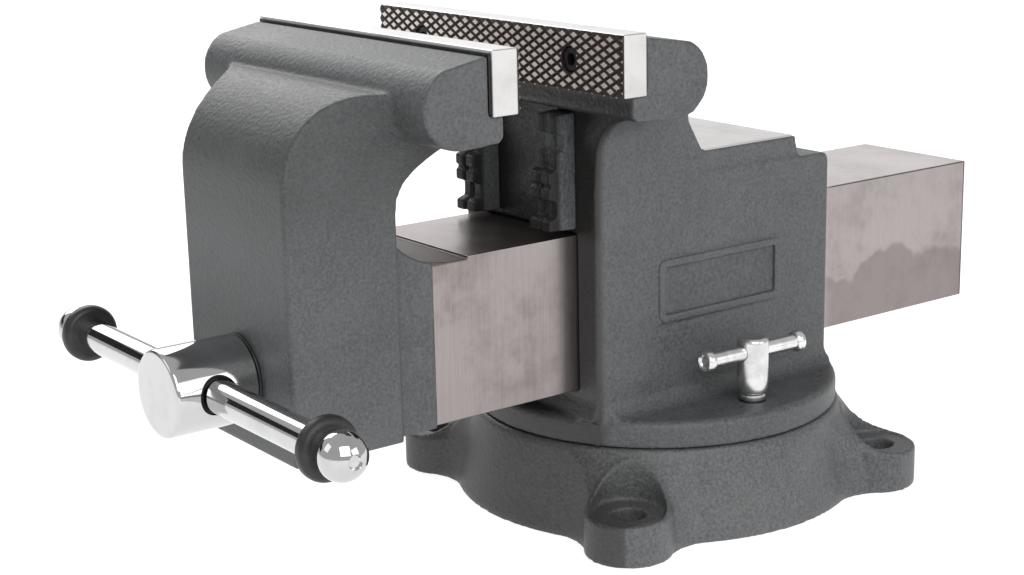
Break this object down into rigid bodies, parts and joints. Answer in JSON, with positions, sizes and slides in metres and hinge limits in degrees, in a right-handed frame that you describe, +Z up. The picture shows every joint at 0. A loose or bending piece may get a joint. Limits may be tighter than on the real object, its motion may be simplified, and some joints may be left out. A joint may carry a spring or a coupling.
{
  "type": "bench vise",
  "caption": "Bench vise with wide serrated jaws, pipe jaws, an anvil pad and a square slide driven by a screw and sliding handle, on a lockable swivel base.",
  "frame": {"origin": "on the swivel axis at the bench plane, the centre of the bench bolt circle", "axes": "+X along the jaws to the operator's right, -Y towards the handle and +Y towards the back of the slide, +Z up from the bench"},
  "size_m": [0.2794, 0.506, 0.2615],
  "materials": {
    "cast_paint": "dark grey hammered enamel on cast iron",
    "ground_steel": "ground",
    "black_steel": "black oxide",
    "bronze": "cast and bored",
    "chrome": "polished",
    "black_rubber": "matt",
    "black_plastic": "moulded"
  },
  "bodies": {
    "fixed_base": {"swivel_base": "cast_paint"},
    "swivel_body": {"rear_jaw": "cast_paint", "rear_jaw_insert": "ground_steel", "rear_insert_screws": "black_steel", "rear_pipe_jaws": "cast_paint", "rear_pipe_jaw_pins": "black_steel", "spindle_nut": "bronze", "spindle_nut_screws": "black_steel", "swivel_pivot": "black_steel", "pivot_washer": "black_steel", "pivot_screw": "black_steel", "lock_tee_nuts": "black_steel"},
    "sliding_jaw": {"front_jaw": "cast_paint", "front_jaw_insert": "ground_steel", "front_insert_screws": "black_steel", "front_pipe_jaw": "cast_paint", "front_pipe_jaw_pins": "black_steel", "thrust_washer": "black_plastic"},
    "screw": {"spindle": "chrome", "spindle_collar": "black_steel", "spindle_collar_pin": "black_steel"},
    "handle": {"handle_rod": "chrome", "handle_balls": "chrome", "handle_bumpers": "black_rubber"},
    "right_lock": {"lock_screw_right": "chrome"},
    "right_lock_bar": {"lock_bar_right": "chrome", "lock_bar_caps_right": "chrome"},
    "left_lock": {"lock_screw_left": "chrome"},
    "left_lock_bar": {"lock_bar_left": "chrome", "lock_bar_caps_left": "chrome"}
  },
  "joints": [
    {"name": "swivel_turn", "type": "hinge", "parent": "fixed_base", "child": "swivel_body", "pos_m": [0, 0, 0.05], "axis": [0, 0, 1], "continuous": true},
    {"name": "jaw_slide", "type": "slide", "parent": "swivel_body", "child": "sliding_jaw", "axis": [0, -1, 0], "range_m": [-0.0577, 0.145]},
    {"name": "spindle_turn", "type": "hinge", "parent": "sliding_jaw", "child": "screw", "pos_m": [0, -0.26, 0.1065], "axis": [0, -1, 0], "range_deg": [-3271, 8220]},
    {"name": "handle_slide", "type": "slide", "parent": "screw", "child": "handle", "axis": [1, 0, 0], "range_m": [-0.089, 0.093]},
    {"name": "right_lock_turn", "type": "hinge", "parent": "swivel_body", "child": "right_lock", "pos_m": [0.078, 0, 0.085], "axis": [0, 0, 1], "range_deg": [-13, 20]},
    {"name": "right_lock_bar_slide", "type": "slide", "parent": "right_lock", "child": "right_lock_bar", "axis": [0.0349, 0.9994, 0], "range_m": [-0.019, 0.019]},
    {"name": "left_lock_turn", "type": "hinge", "parent": "swivel_body", "child": "left_lock", "pos_m": [-0.078, 0, 0.085], "axis": [0, 0, 1], "range_deg": [-13, 20]},
    {"name": "left_lock_bar_slide", "type": "slide", "parent": "left_lock", "child": "left_lock_bar", "axis": [0.0349, 0.9994, 0], "range_m": [-0.019, 0.019]}
  ],
  "couplings": [
    {"joint": "jaw_slide", "follows": "spindle_turn", "m_per_rad": 0.0010106}
  ]
}
